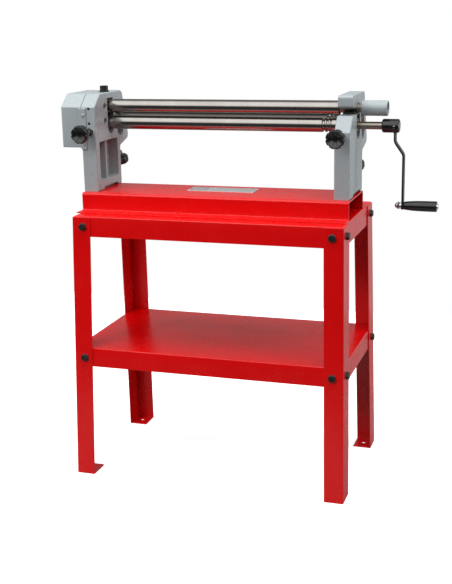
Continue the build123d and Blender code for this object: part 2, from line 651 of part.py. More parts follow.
# -------------------------------------------------------------------------------- the adjusters
def star_knob():
    """Knob with eight notches and a ribbed dish about +Z: neck from z=0, head ends at z=36."""
    notches = 8
    neck = turned([(0, 0), (9, 0), (9.6, 0.6), (10.4, 8), (14, 14), (14, 16), (0, 16)])
    head = turned([(0, 13), (17, 13), (22, 14), (24.2, 16), (25, 19), (25, 31.5), (24.2, 34.2),
                   (22.6, 35.7), (21, 36), (0, 36)])
    for k in range(notches):
        a = 2 * math.pi * k / notches
        head -= Pos(26.8 * math.cos(a), 26.8 * math.sin(a), 24) * Cylinder(3.8, 30)
    head -= turned([(0, 29), (8, 29), (20.5, 36), (20.5, 37), (0, 37)])
    body = neck + head
    rib = extrude(face_at([(7, -0.8, 28), (19.5, -0.8, 34.5), (19.5, -0.8, 35.6), (7, -0.8, 31)]),
                  amount=1.6, dir=(0, 1, 0))
    for k in range(notches):
        body += Rot(0, 0, 360 * (k + 0.5) / notches) * rib
    return body - Pos(0, 0, 12) * Cylinder(SCREW_R + 0.02, 26)


def front_place(mid):
    """Puts local Z along -Y, with z=0 on the knob's neck end."""
    return Pos(mid, FRONT_KNOB_Y, KNOB_Z) * Rot(90, 0, 0)


def front_screw(mid):
    screw = turned([(0, -94.8), (SCREW_R - 1.2, -94.8), (SCREW_R, -93.6), (SCREW_R, 24),
                    (SCREW_R - 1, 25), (0, 25)])
    return front_place(mid) * screw


def front_plunger(mid):
    tip = PLUNGER_TIP
    body = turned([(0, -26), (SCREW_R - 0.5, -26), (SCREW_R, -25.5), (SCREW_R, tip - 6.2),
                   (0.2, tip), (0, tip)])
    return Pos(mid, 0, KNOB_Z) * Rot(-90, 0, 0) * body


def front_lock_nut(mid):
    nut = Pos(mid, FRAME_FRONT - 0.05, KNOB_Z) * Rot(90, 0, 0) * hexagon(19.0, 10.0)
    return nut - cyl_y(FRAME_FRONT - 15, FRAME_FRONT + 5, SCREW_R + RUN, mid, KNOB_Z)


def rear_knob(mid):
    return rear(Pos(mid, 0, REAR_KNOB_S) * Rot(180, 0, 0) * star_knob())


def rear_screw(mid):
    """Pushes the rear bearing block up its slot."""
    top = REAR_BLOCK_LOW - SLOT_R - 0.1
    low = REAR_KNOB_S - 24
    screw = turned([(0, low), (SCREW_R - 1, low), (SCREW_R, low + 1), (SCREW_R, top - 1.2),
                    (SCREW_R - 1.2, top), (0, top)])
    return rear(Pos(mid, 0, 0) * screw)


# ------------------------------------------------------------------------------------ the crank
def crank_hub():
    body = turned_x([(JOURNAL_R + 0.02, HUB_X[0]), (HUB_R - 3, HUB_X[0]),
                     (HUB_R, HUB_X[0] + 3), (HUB_R, HUB_X[1] - 3), (HUB_R - 3, HUB_X[1]),
                     (JOURNAL_R + 0.02, HUB_X[1])], ROLL_Y, LOW_Z)
    return body


def crank_arm():
    """Flat strip, welded under the hub and cranked outwards on its way down."""
    t = ARM_T / 2
    line = [(ARM_TOP_X, LOW_Z - HUB_R + 2.5), (ARM_TOP_X, LOW_Z - 41),
            (ARM_LOW_X, LOW_Z - 74), (ARM_LOW_X, GRIP_Z - 3)]
    mitre = (0, 1.6, 1.6, 0)
    right = [(x + t, z + m) for (x, z), m in zip(line, mitre)]
    left = [(x - t, z - m) for (x, z), m in zip(line, mitre)]
    outline = left + list(reversed(right))
    y0 = ROLL_Y - ARM_W / 2
    flat = face_at([(x, y0, z) for x, z in outline])
    body = extrude(flat, amount=ARM_W, dir=(0, 1, 0))
    body += cyl_x(ARM_LOW_X - t, ARM_LOW_X + t, ARM_W / 2, ROLL_Y, GRIP_Z)
    body -= cyl_x(HUB_X[0], HUB_X[1], HUB_R, ROLL_Y, LOW_Z)
    return body - cyl_x(ARM_LOW_X - 9, ARM_LOW_X + 9, 5.02, ROLL_Y, GRIP_Z)


def crank_grip():
    x0 = ARM_LOW_X + ARM_T / 2 + 0.5
    points = [(5.1, x0), (9.2, x0), (10.5, x0 + 1.5), (11.9, x0 + 12), (13.0, x0 + 25),
              (13.5, x0 + 36), (13.9, x0 + 60), (13.9, x0 + 84.5), (12.9, x0 + 86.5),
              (8.4, x0 + 86.5), (8.4, x0 + 83.5), (5.1, x0 + 83.5)]
    return turned_x(points, ROLL_Y, GRIP_Z)


def grip_bolt():
    x0 = ARM_LOW_X + ARM_T / 2 + 0.5
    return turned_x([(0, 468), (4.4, 468), (5.0, 468.8), (5.0, x0 + 83.8), (8.0, x0 + 83.8),
                     (8.0, x0 + 87.4), (6.6, x0 + 89.4), (0, x0 + 90.4)], ROLL_Y, GRIP_Z)


def grip_nut():
    x1 = ARM_LOW_X - ARM_T / 2 - 0.05
    nut = Pos(x1 - 11.0, ROLL_Y, GRIP_Z) * Rot(0, -90, 0) * hexagon(17.0, 6.0)
    dome = turned_x([(0, x1 - 18.6), (4.2, x1 - 18.0), (7.0, x1 - 15.8), (7.9, x1 - 13),
                     (7.9, x1 - 10.5), (0, x1 - 10.5)], ROLL_Y, GRIP_Z)
    collar = cyl_x(x1 - 11.2, x1, 6.4, ROLL_Y, GRIP_Z)
    washer = cyl_x(x1 - 2.2, x1, 10.0, ROLL_Y, GRIP_Z)
    body = nut + dome + collar + washer
    return body - cyl_x(466, x1 + 3, 5.02, ROLL_Y, GRIP_Z)


# ----------------------------------------------------------------------------------- the nodes
def nodes():
    seats = [plane for sx, sy in CORNERS for plane in leg_bolt_planes(sx, sy)]
    lx, rx = block_x(True), block_x(False)
    yield "leg_front_left", leg(-1, -1)
    yield "leg_front_right", leg(1, -1)
    yield "leg_rear_left", leg(-1, 1)
    yield "leg_rear_right", leg(1, 1)
    yield "stand_top", stand_top()
    yield "stand_shelf", tray(SHELF_Z, SHELF_SKIRT)
    yield "stand_bolts", group([plane * stand_bolt() for plane in seats])
    yield "stand_nuts", group([plane * stand_nut() for plane in seats])
    yield "base_channel", base_channel()
    yield "base_bolts", group([base_bolt(x, y) for x, y in BASE_BOLTS])
    yield "label_plate", label_plate()
    yield "left_frame", left_frame()
    yield "right_frame", right_frame()
    yield "frame_bolts", group([frame_bolt(x, y) for x, y in FRAME_BOLTS])
    yield "gear_cover", gear_cover()
    yield "cover_screws", group([cover_screw(z) for z in COVER_SCREW_Z])
    yield "ball_housing", ball_housing()
    yield "ball_bush", ball_bush()
    yield "gear_bearing", gear_bearing()
    yield "gear_shaft", gear_shaft()
    yield "top_roll_gear", gear(ROLL_TEETH, TOP_PHASE, *TOP_AT, JOURNAL_R + 0.02)
    yield "clamp_bolt", clamp_bolt()
    yield "clamp_washer", clamp_washer()
    yield "idler_shafts", group([idler_shaft(z) for z in (IDLER_LOW_Z, IDLER_HIGH_Z)])
    yield "idler_gear_lower", gear(IDLER_TEETH, IDLER_LOW_PHASE, *IDLER_LOW_AT,
                                   IDLER_SHAFT_R + RUN)
    yield "idler_gear_upper", gear(IDLER_TEETH, IDLER_HIGH_PHASE, *IDLER_HIGH_AT,
                                   IDLER_SHAFT_R + RUN)
    yield "idler_clips", group([idler_clip(z) for z in (IDLER_LOW_Z, IDLER_HIGH_Z)])
    yield "idler_set_screws", group([idler_set_screw(z) for z in (IDLER_LOW_Z, IDLER_HIGH_Z)])
    yield "lower_block_left", lower_block(True)
    yield "lower_block_right", lower_block(False)
    yield "lower_bushes", group([bush(*lx, ROLL_Y, LOW_Z), bush(*rx, ROLL_Y, LOW_Z)])
    yield "thrust_washers", group([thrust_washer(lx[1] + 0.4, ROLL_L - 0.4),
                                   thrust_washer(ROLL_RT + 0.4, rx[0] - 0.4)])
    yield "lower_roll", lower_roll()
    yield "lower_roll_gear", gear(ROLL_TEETH, LOW_PHASE, *LOW_AT, JOURNAL_R + 0.02)
    for side, mid in (("left", LEFT_AXIS), ("right", RIGHT_AXIS)):
        yield "front_plunger_" + side, front_plunger(mid)
        yield "front_screw_" + side, front_screw(mid)
        yield "front_knob_" + side, front_place(mid) * star_knob()
        yield "rear_screw_" + side, rear_screw(mid)
        yield "rear_knob_" + side, rear_knob(mid)
    yield "front_lock_nuts", group([front_lock_nut(mid) for mid in (LEFT_AXIS, RIGHT_AXIS)])
    yield "rear_block_left", rear_block(True)
    yield "rear_block_right", rear_block(False)
    yield "rear_bushes", group([bush(*lx, REAR_Y, REAR_Z), bush(*rx, REAR_Y, REAR_Z)])
    yield "rear_roll", rear_roll()
    yield "top_saddle", top_saddle()
    yield "top_roll", top_roll()
    yield "lift_handle", lift_handle()
    yield "top_cap", top_cap()
    yield "cap_pin", cap_pin()
    yield "crank_hub", crank_hub()
    yield "crank_arm", crank_arm()
    yield "crank_grip", crank_grip()
    yield "grip_bolt", grip_bolt()
    yield "grip_nut", grip_nut()


os.makedirs("parts", exist_ok=True)
for name, shape in nodes():
    export_step(shape, "parts/" + name + ".step")
    box_ = shape.bounding_box()
    print(name, round(shape.volume), [round(v, 1) for v in (*box_.min, *box_.max)])
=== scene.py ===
import json
import math

import bmesh
import bpy
from mathutils import Matrix, Vector


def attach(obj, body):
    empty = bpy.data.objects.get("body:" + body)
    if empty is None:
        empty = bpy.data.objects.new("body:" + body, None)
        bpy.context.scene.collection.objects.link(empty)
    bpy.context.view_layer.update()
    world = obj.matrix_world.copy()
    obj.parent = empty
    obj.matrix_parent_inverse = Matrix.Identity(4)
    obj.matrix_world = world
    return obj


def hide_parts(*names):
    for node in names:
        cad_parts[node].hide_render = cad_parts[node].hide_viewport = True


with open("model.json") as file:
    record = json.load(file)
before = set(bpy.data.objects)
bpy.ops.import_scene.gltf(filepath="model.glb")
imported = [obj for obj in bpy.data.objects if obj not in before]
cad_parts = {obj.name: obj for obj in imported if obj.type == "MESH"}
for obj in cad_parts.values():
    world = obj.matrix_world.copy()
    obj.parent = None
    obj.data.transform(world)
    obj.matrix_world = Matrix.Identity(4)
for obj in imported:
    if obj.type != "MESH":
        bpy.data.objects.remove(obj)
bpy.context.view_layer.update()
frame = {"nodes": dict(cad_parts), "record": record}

# A hand-cranked slip roll on a folded steel stand. Pieces are drawn in millimetres about their
# own axes and placed in metres in the shared frame; the CAD nodes keep their shapes and get paint.
MM = 0.001
TAU = 2 * math.pi
TILT = math.radians(15)
ALONG = Vector((1, 0, 0))                                  # the rolls' direction
UP_SLOT = Vector((0, -math.sin(TILT), math.cos(TILT)))     # the rear slots' direction
ROLL_Y, TOP_Z, LOW_Z = 18.0, 1010.0, 965.0
SLOT_Y, SLOT_Z = 83.0, 941.0                               # low end of the rear slots
REAR_LIFT = 28.0                                           # rear roll's place along them
REAR_Y = SLOT_Y - REAR_LIFT * math.sin(TILT)
REAR_Z = SLOT_Z + REAR_LIFT * math.cos(TILT)
SIDES = (("left", -357.0), ("right", 340.0))
ROLL_LEFT, ROLL_RIGHT = -327.0, 316.0                      # ends of the rolls' bodies
WIRE_GROOVES = ((275.0, 4.0), (285.5, 3.3), (295.0, 2.6))   # (x, radius) of each
HUB_R = 17.8
BASE_TOP = 784.0
CASTING_FRONT = -88.0
ADJUSTER_Z = 948.0                                         # height of the front adjusters
FRONT_KNOB_Y = -121.0                                      # neck end of the front knobs
REAR_KNOB_AT = 71.0                                        # same, down along the rear slots


# ------------------------------------------------------------------------------------ materials
class Look:
    """One procedural material: a Principled shader and small helpers for its nodes."""

    def __init__(self, name, **values):
        self.m = bpy.data.materials.new(name)
        self.m.use_nodes = True
        self.tree = self.m.node_tree
        self.shader = self.tree.nodes["Principled BSDF"]
        for key, value in values.items():
            self.shader.inputs[key.replace("_", " ")].default_value = value
        self.place = self.add("ShaderNodeTexCoord").outputs["Object"]

    def add(self, kind, **settings):
        n = self.tree.nodes.new(kind)
        for key, value in settings.items():
            setattr(n, key, value)
        return n

    def link(self, a, b):
        self.tree.links.new(a, b)

    def stretched(self, scale):
        """The object's own coordinates, stretched."""
        n = self.add("ShaderNodeMapping")
        n.inputs["Scale"].default_value = scale
        self.link(self.place, n.inputs["Vector"])
        return n.outputs["Vector"]

    def noise(self, scale, detail=2.0, rough=0.5, at=None):
        n = self.add("ShaderNodeTexNoise")
        n.inputs["Scale"].default_value = scale
        n.inputs["Detail"].default_value = detail
        n.inputs["Roughness"].default_value = rough
        self.link(at or self.place, n.inputs["Vector"])
        return n.outputs["Fac"]

    def spread(self, value, low, high, from_low=0.3, from_high=0.7):
        n = self.add("ShaderNodeMapRange")
        for key, v in (("From Min", from_low), ("From Max", from_high), ("To Min", low),
                       ("To Max", high)):
            n.inputs[key].default_value = v
        self.link(value, n.inputs["Value"])
        return n.outputs["Result"]

    def mix(self, factor, a, b, kind="MIX"):
        n = self.add("ShaderNodeMix", data_type="RGBA", blend_type=kind)
        for socket, v in ((n.inputs[0], factor), (n.inputs[6], a), (n.inputs[7], b)):
            if isinstance(v, bpy.types.NodeSocket):
                self.link(v, socket)
            else:
                socket.default_value = v
        return n.outputs[2]

    def edges(self, radius, start=0.02, full=0.3):
        """1 on sharp edges, 0 on flat faces."""
        bevel = self.add("ShaderNodeBevel", samples=4)
        bevel.inputs["Radius"].default_value = radius
        plain = self.add("ShaderNodeNewGeometry")
        dot = self.add("ShaderNodeVectorMath", operation="DOT_PRODUCT")
        self.link(bevel.outputs["Normal"], dot.inputs[0])
        self.link(plain.outputs["Normal"], dot.inputs[1])
        return self.spread(dot.outputs["Value"], 0.0, 1.0, 1 - start, 1 - full)

    def bump(self, *layers, rounding=0.0):
        """Layers of (height, distance in metres, strength), over rounded-off edges."""
        normal = None
        if rounding:
            bevel = self.add("ShaderNodeBevel", samples=6)
            bevel.inputs["Radius"].default_value = rounding
            normal = bevel.outputs["Normal"]
        for height, distance, strength in layers:
            n = self.add("ShaderNodeBump")
            n.inputs["Distance"].default_value = distance
            n.inputs["Strength"].default_value = strength
            self.link(height, n.inputs["Height"])
            if normal is not None:
                self.link(normal, n.inputs["Normal"])
            normal = n.outputs["Normal"]
        self.link(normal, self.shader.inputs["Normal"])

    def set(self, **sockets):
        for key, value in sockets.items():
            self.link(value, self.shader.inputs[key.replace("_", " ")])
        return self.m


def rgb(r, g, b):
    return (r, g, b, 1.0)


def red_paint():
    look = Look("red_powder_coat", IOR=1.5)
    cloud = look.noise(5.0, 3.0, 0.6)
    peel = look.noise(420.0, 2.0, 0.6)
    grain = look.noise(1500.0, 1.0, 0.5)
    base = look.mix(look.spread(cloud, 0.0, 1.0), rgb(0.60, 0.0, 0.0008), rgb(0.64, 0.0015, 0.002))
    edge = look.edges(0.0016)
    colour = look.mix(edge, base, rgb(0.74, 0.012, 0.010))
    look.bump((peel, 0.00010, 0.02), (grain, 0.00002, 0.02), rounding=0.0010)
    return look.set(Base_Color=colour,
                    Roughness=look.spread(look.noise(14.0, 4.0, 0.7), 0.20, 0.30))


def grey_paint():
    look = Look("grey_enamel", IOR=1.5)
    cloud = look.noise(9.0, 3.0, 0.6)
    skin = look.noise(130.0, 3.0, 0.55)
    peel = look.noise(520.0, 2.0, 0.5)
    base = look.mix(look.spread(cloud, 0.0, 1.0), rgb(0.298, 0.338, 0.352),
                    rgb(0.308, 0.348, 0.362))
    edge = look.edges(0.0016)
    colour = look.mix(edge, base, rgb(0.40, 0.43, 0.44))
    look.bump((skin, 0.00030, 0.01), (peel, 0.00010, 0.015), rounding=0.0018)
    return look.set(Base_Color=colour,
                    Roughness=look.spread(look.noise(25.0, 4.0, 0.7), 0.25, 0.31))


def steel(name, colour, dark, low, high, rings=1400.0, streak=0.5):
    """Turned or ground steel whose marks run round the piece's own Z axis."""
    look = Look(name, Metallic=1.0)
    ring = look.noise(1.0, 3.0, 0.7, look.stretched((6.0, 6.0, rings)))
    wide = look.noise(1.0, 2.0, 0.6, look.stretched((9.0, 9.0, rings * 0.09)))
    stain = look.noise(16.0, 4.0, 0.65)
    tint = look.mix(look.spread(stain, 0.0, 0.35), rgb(*colour), rgb(*dark))
    tint = look.mix(look.spread(wide, 0.0, streak * 0.3), tint, rgb(*dark))
    look.bump((ring, 0.00002, 0.35))
    return look.set(Base_Color=tint, Roughness=look.spread(ring, low, high))


def plain_steel():
    look = Look("machined_steel", Metallic=1.0)
    stain = look.noise(30.0, 4.0, 0.65)
    fine = look.noise(900.0, 2.0, 0.6)
    tint = look.mix(look.spread(stain, 0.0, 0.6), rgb(0.50, 0.49, 0.47), rgb(0.30, 0.28, 0.25))
    look.bump((fine, 0.00003, 0.3), rounding=0.0003)
    return look.set(Base_Color=tint, Roughness=look.spread(fine, 0.26, 0.42))


def black_steel():
    look = Look("black_oxide", Metallic=0.3, IOR=1.5)
    cloud = look.noise(60.0, 3.0, 0.6)
    fine = look.noise(1400.0, 2.0, 0.6)
    edge = look.edges(0.0006)
    base = look.mix(look.spread(cloud, 0.0, 1.0), rgb(0.012, 0.012, 0.013),
                    rgb(0.024, 0.023, 0.023))
    colour = look.mix(edge, base, rgb(0.07, 0.068, 0.066))
    look.bump((fine, 0.00006, 0.2), rounding=0.0005)
    return look.set(Base_Color=colour, Roughness=look.spread(cloud, 0.30, 0.42))


# Near-black iron: the parts down in the slots and under the cap are made darker than bare iron so
# that they read dark there, partly the iron's own dark tone, partly painted shade.
def cast_iron():
    look = Look("dark_iron_and_painted_shade", Metallic=0.7, IOR=1.5)
    cloud = look.noise(45.0, 4.0, 0.65)
    fine = look.noise(1100.0, 3.0, 0.6)
    base = look.mix(look.spread(cloud, 0.0, 1.0), rgb(0.025, 0.025, 0.026), rgb(0.06, 0.059, 0.058))
    look.bump((fine, 0.0001, 0.3), rounding=0.0005)
    return look.set(Base_Color=base, Roughness=look.spread(cloud, 0.38, 0.55))


def bronze():
    look = Look("bearing_bronze", Metallic=1.0)
    cloud = look.noise(60.0, 4.0, 0.65)
    fine = look.noise(1300.0, 2.0, 0.6)
    base = look.mix(look.spread(cloud, 0.0, 1.0), rgb(0.58, 0.40, 0.17), rgb(0.36, 0.23, 0.09))
    look.bump((fine, 0.00005, 0.3), rounding=0.0003)
    return look.set(Base_Color=base, Roughness=look.spread(fine, 0.28, 0.42))


def black_plastic():
    look = Look("black_gloss", IOR=1.5)
    cloud = look.noise(70.0, 3.0, 0.6)
    fine = look.noise(900.0, 2.0, 0.5)
    base = look.mix(look.spread(cloud, 0.0, 1.0), rgb(0.004, 0.004, 0.0045),
                    rgb(0.009, 0.009, 0.0095))
    look.bump((fine, 0.00006, 0.12))
    return look.set(Base_Color=base, Roughness=look.spread(cloud, 0.11, 0.19))


def chrome():
    look = Look("bright_plate", Metallic=1.0)
    cloud = look.noise(90.0, 3.0, 0.6)
    tint = look.mix(look.spread(cloud, 0.0, 1.0), rgb(0.78, 0.78, 0.79), rgb(0.64, 0.64, 0.66))
    look.bump((look.noise(1500.0, 2.0, 0.5), 0.00003, 0.2), rounding=0.0002)
    return look.set(Base_Color=tint, Roughness=look.spread(cloud, 0.08, 0.16))


def label():
    """Blank satin plate: a printed border and two plain tinted panels, no lettering."""
    look = Look("satin_plate", Metallic=0.55, IOR=1.5)
    parts = look.add("ShaderNodeSeparateXYZ")
    look.link(look.place, parts.inputs[0])

    def inside(socket, low, high):
        a = look.spread(socket, 0.0, 1.0, low - 0.0002, low + 0.0002)
        b = look.spread(socket, 1.0, 0.0, high - 0.0002, high + 0.0002)
        n = look.add("ShaderNodeMath", operation="MULTIPLY")
        look.link(a, n.inputs[0])
        look.link(b, n.inputs[1])
        return n.outputs[0]

    def panel(x0, x1, y0, y1):
        n = look.add("ShaderNodeMath", operation="MULTIPLY")
        look.link(inside(parts.outputs["X"], x0, x1), n.inputs[0])
        look.link(inside(parts.outputs["Y"], y0, y1), n.inputs[1])
        return n.outputs[0]

    brushed = look.noise(1.0, 3.0, 0.6, look.stretched((30.0, 1600.0, 30.0)))
    colour = look.mix(look.spread(brushed, 0.0, 0.4), rgb(0.66, 0.66, 0.66), rgb(0.5, 0.5, 0.5))
    colour = look.mix(panel(-0.088, -0.044, -0.024, 0.024), colour, rgb(0.30, 0.25, 0.25))
    colour = look.mix(panel(-0.084, -0.048, -0.020, 0.020), colour, rgb(0.55, 0.53, 0.53))
    for y in (-0.018, 0.0, 0.018):
        colour = look.mix(panel(-0.034, 0.086, y - 0.0016, y + 0.0016), colour,
                          rgb(0.36, 0.36, 0.37))
    look.bump((brushed, 0.00002, 0.3))
    return look.set(Base_Color=colour, Roughness=look.spread(brushed, 0.30, 0.42))


LOOKS = {
    "red_paint": red_paint(),
    "grey_paint": grey_paint(),
    "black_steel": black_steel(),
    "polished_steel": steel("ground_rolls", (0.33, 0.318, 0.30), (0.21, 0.185, 0.16), 0.15, 0.24),
    "machined_steel": plain_steel(),
    "cast_iron": cast_iron(),
    "bronze": bronze(),
    "black_plastic": black_plastic(),
    "chrome": chrome(),
    "label": label(),
}
# The rear roll's body: a darker, rougher copy of the ground-roll steel, as painted shade for the
# roll that sits back in shadow between the other two.
ROLL_IN_PAINTED_SHADE = steel("rear_roll_painted_shade", (0.12, 0.112, 0.104), (0.07, 0.06, 0.052), 0.28, 0.38)
JOURNAL_LOOK = steel("turned_journals", (0.34, 0.30, 0.26), (0.17, 0.135, 0.105), 0.32, 0.46, 900.0)


# --------------------------------------------------------------------------------- CAD nodes
for part in frame["record"]["subparts"]:
    node = frame["nodes"][part["node"]]
    node.data.materials.clear()
    node.data.materials.append(LOOKS[part["material_slot"]])
    if node.data.has_custom_normals:
        node.data.attributes.remove(node.data.attributes["custom_normal"])
    node.data.polygons.foreach_set("use_smooth", [True] * len(node.data.polygons))
    weld = node.modifiers.new("weld", "WELD")
    weld.merge_threshold = 1e-6
    split = node.modifiers.new("split", "EDGE_SPLIT")
    split.split_angle = math.radians(28)


# ------------------------------------------------------------------------------- mesh helpers
def frame_at(x, y, z, direction):
    """Matrix whose origin is that point in millimetres and whose Z lies along direction."""
    turn = direction.to_track_quat("Z", "Y").to_matrix().to_4x4()
    return Matrix.Translation(Vector((x, y, z)) * MM) @ turn


def piece(name, bm, at, body, slot, nodes, looks=None, sharp=35.0):
    bmesh.ops.remove_doubles(bm, verts=bm.verts, dist=1e-6)
    bmesh.ops.recalc_face_normals(bm, faces=bm.faces)
    mesh = bpy.data.meshes.new(name)
    bm.to_mesh(mesh)
    bm.free()
    for look in looks or [LOOKS[slot]]:
        mesh.materials.append(look)
    mesh.polygons.foreach_set("use_smooth", [True] * len(mesh.polygons))
    obj = bpy.data.objects.new(name, mesh)
    bpy.context.scene.collection.objects.link(obj)
    obj.matrix_world = at
    split = obj.modifiers.new("split", "EDGE_SPLIT")
    split.split_angle = math.radians(sharp)
    weighted = obj.modifiers.new("weighted", "WEIGHTED_NORMAL")
    weighted.keep_sharp = True
    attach(obj, body)
    if nodes:
        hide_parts(*nodes)


def skin(bm, rings, closed=False, look=None):
    """Joins rings of points (or single points) into a surface; look gives a ring's material."""
    made = [[bm.verts.new(p) for p in ring] for ring in rings]
    pairs = list(zip(made, made[1:]))
    if closed:
        pairs.append((made[-1], made[0]))
    for k, (a, b) in enumerate(pairs):
        n = max(len(a), len(b))
        for i in range(n):
            j = (i + 1) % n
            if len(a) == 1:
                face = bm.faces.new((a[0], b[i], b[j]))
            elif len(b) == 1:
                face = bm.faces.new((a[i], a[j], b[0]))
            else:
                face = bm.faces.new((a[i], a[j], b[j], b[i]))
            face.material_index = look(k) if look else 0
    return made


def softened(profile, radius, steps=3):
    """(r, s) profile with its corners rounded."""
    out = [profile[0]]
    for a, b, c in zip(profile, profile[1:], profile[2:]):
        p, q, r = Vector(a[:2]), Vector(b[:2]), Vector(c[:2])
        cut = min(radius, (q - p).length * 0.45, (r - q).length * 0.45)
        start, end = q + (p - q).normalized() * cut, q + (r - q).normalized() * cut
        for k in range(steps + 1):
            t = k / steps
            out.append(tuple(start * (1 - t) ** 2 + q * 2 * t * (1 - t) + end * t * t))
    return out + [profile[-1]]


def turn_rings(profile, n=72):
    """Rings of a turned shape about Z, from (r, s) in millimetres."""
    rings = []
    for r, s in profile:
        if r < 1e-6:
            rings.append([Vector((0, 0, s * MM))])
        else:
            rings.append([Vector((r * math.cos(TAU * k / n), r * math.sin(TAU * k / n), s)) * MM
                          for k in range(n)])
    return rings


def lathe(name, profile, at, body, slot, nodes=(), radius=0.5, n=72, **kw):
    bm = bmesh.new()
    skin(bm, turn_rings(softened(profile, radius), n))
    piece(name, bm, at, body, slot, nodes, **kw)


# --------------------------------------------------------------------------------- the rolls
def groove(x, r):
    """Round-bottomed wire groove in a roll's (r, s) profile."""
    points = []
    for k in range(9):
        a = math.pi * (0.06 + 0.88 * k / 8)
        points.append((19.4 - r * math.sin(a), x - r * math.cos(a)))
    lip = math.sqrt(r * r - 0.16)
    return [(19.0, x - lip - 0.3)] + points + [(19.0, x + lip + 0.3)]


def roll(name, y, z, body, node, left, right, grooves=False, skin_look=None):
    """left and right are the journals' (r, x) profiles outside the roll's body."""
    middle = [(18.0, ROLL_LEFT), (18.4, ROLL_LEFT + 0.2), (19.0, ROLL_LEFT + 0.8),
              (19.0, -200.0), (19.0, 200.0)]
    if grooves:
        for x, r in WIRE_GROOVES:
            middle += groove(x, r)
    middle += [(19.0, ROLL_RIGHT - 0.8), (18.4, ROLL_RIGHT - 0.2), (18.0, ROLL_RIGHT)]
    neck = softened(left, 0.8)
    profile = neck + middle + softened(right, 0.8)
    first = len(neck)
    last = first + len(middle) - 1

    def look(k):
        return 0 if first <= k < last else 1

    bm = bmesh.new()
    skin(bm, turn_rings(profile, 96), look=look)
    piece(name, bm, frame_at(0, y, z, ALONG), body, "polished_steel", [node],
          [skin_look or LOOKS["polished_steel"], JOURNAL_LOOK], sharp=40)


def centre_hole(x, way):
    """Centre-drilled end of a shaft, from the middle outwards; way is the end's direction."""
    return [(0.0, x - way * 3.2), (1.2, x - way * 2.6), (1.2, x - way * 1.8), (3.0, x)]


roll("roll_top", ROLL_Y, TOP_Z, "top_roll", "top_roll",
     centre_hole(-362.5, -1) + [(9.0, -362.5), (10.0, -361.5), (10.0, -336.0), (16.0, -336.0),
                                (16.0, ROLL_LEFT)],
     [(12.5, ROLL_RIGHT), (12.5, 368.0), (11.0, 369.5), (11.0, 434.0), (10.0, 435.0)]
     + centre_hole(435.0, 1)[::-1])
roll("roll_lower", ROLL_Y, LOW_Z, "lower_roll", "lower_roll",
     centre_hole(-413.0, -1) + [(9.0, -413.0), (10.0, -412.0), (10.0, ROLL_LEFT)],
     [(10.0, ROLL_RIGHT), (10.0, 472.0), (9.0, 473.0)] + centre_hole(473.0, 1)[::-1],
     grooves=True)
# The rear roll's body takes the darker steel copy: painted shade, not a different finish.
roll("roll_rear", REAR_Y, REAR_Z, "rear_roll", "rear_roll",
     centre_hole(-374.0, -1) + [(9.0, -374.0), (10.0, -373.0), (10.0, ROLL_LEFT)],
     [(10.0, ROLL_RIGHT), (10.0, 357.0), (9.0, 358.0)] + centre_hole(358.0, 1)[::-1],
     grooves=True, skin_look=ROLL_IN_PAINTED_SHADE)

tongue = bmesh.new()
corners = [(-8, -3), (8, -3), (8, 3), (-8, 3)]
skin(tongue, [[Vector((0, 0, -0.3675))]]
     + [[Vector((y * k, z * k, 0)) * MM + Vector((0, 0, s)) for z, y in corners]
        for s, k in ((-0.3675, 0.9), (-0.3670, 1.0), (-0.3610, 1.0))] + [[Vector((0, 0, -0.361))]])
piece("roll_top_tongue", tongue, frame_at(0, ROLL_Y, TOP_Z, ALONG), "top_roll",
      "polished_steel", [], [JOURNAL_LOOK])

lathe("lift_sleeve", [(11.0, 373.0), (17.4, 373.0), (20.0, 375.4), (20.0, 440.5), (18.9, 442.1),
                      (17.4, 442.5), (16.6, 441.5), (16.5, 433.6), (13.0, 433.1), (11.0, 433.1)],
      frame_at(0, ROLL_Y, TOP_Z, ALONG), "top_roll", "grey_paint", ["lift_handle"], 1.2, 96)


# --------------------------------------------------------------------------------- star knobs
NOTCHES = 8
NOTCH_AT, NOTCH_R = 26.8, 3.8
KNOB_R = 25.0


def lobed(angle, r, share):
    """Radius of the knob's outline at an angle: round at share 0, notched at share 1."""
    step = TAU / NOTCHES
    away = (angle + step / 2) % step - step / 2
    side = NOTCH_AT * math.sin(away)
    if abs(side) >= NOTCH_R:
        return r
    cut = NOTCH_AT * math.cos(away) - math.sqrt(NOTCH_R ** 2 - side ** 2)
    k = 0.9                                             # rounds the cusps
    h = max(k - abs(KNOB_R - cut), 0.0) / k
    edge = min(KNOB_R, cut) - h * h * k / 4
    return r - (KNOB_R - edge) * share * min(1.0, r / KNOB_R)


# (radius, height, share of the notches) from the neck up and into the dished face
KNOB = ((0, 0.0, 0), (8.4, 0.0, 0), (9.0, 0.3, 0), (9.4, 1.0, 0), (9.7, 3.0, 0), (10.3, 7.0, 0),
        (11.3, 9.8, 0), (13.0, 12.0, 0.1), (15.5, 13.1, 0.35), (18.5, 13.7, 0.7),
        (21.5, 14.7, 0.9), (23.6, 16.2, 1), (24.7, 18.2, 1), (25.0, 20.5, 1), (25.0, 27.5, 1),
        (25.0, 30.0, 1), (24.6, 31.8, 1), (23.8, 33.6, 1), (22.6, 35.2, 1), (21.4, 36.0, 1),
        (20.6, 35.9, 1), (19.8, 35.3, 0.9), (18.0, 34.2, 0.5), (14.0, 32.0, 0.1),
        (8.5, 29.1, 0), (7.6, 28.8, 0), (0, 28.7, 0))


# (radius, foot, crest) along one of the ribs in the dish
KNOB_RIB = ((5.0, 28.0, 29.6), (8.0, 28.0, 31.2), (13.0, 30.6, 33.0), (18.0, 33.4, 34.9),
            (20.2, 34.8, 35.7))


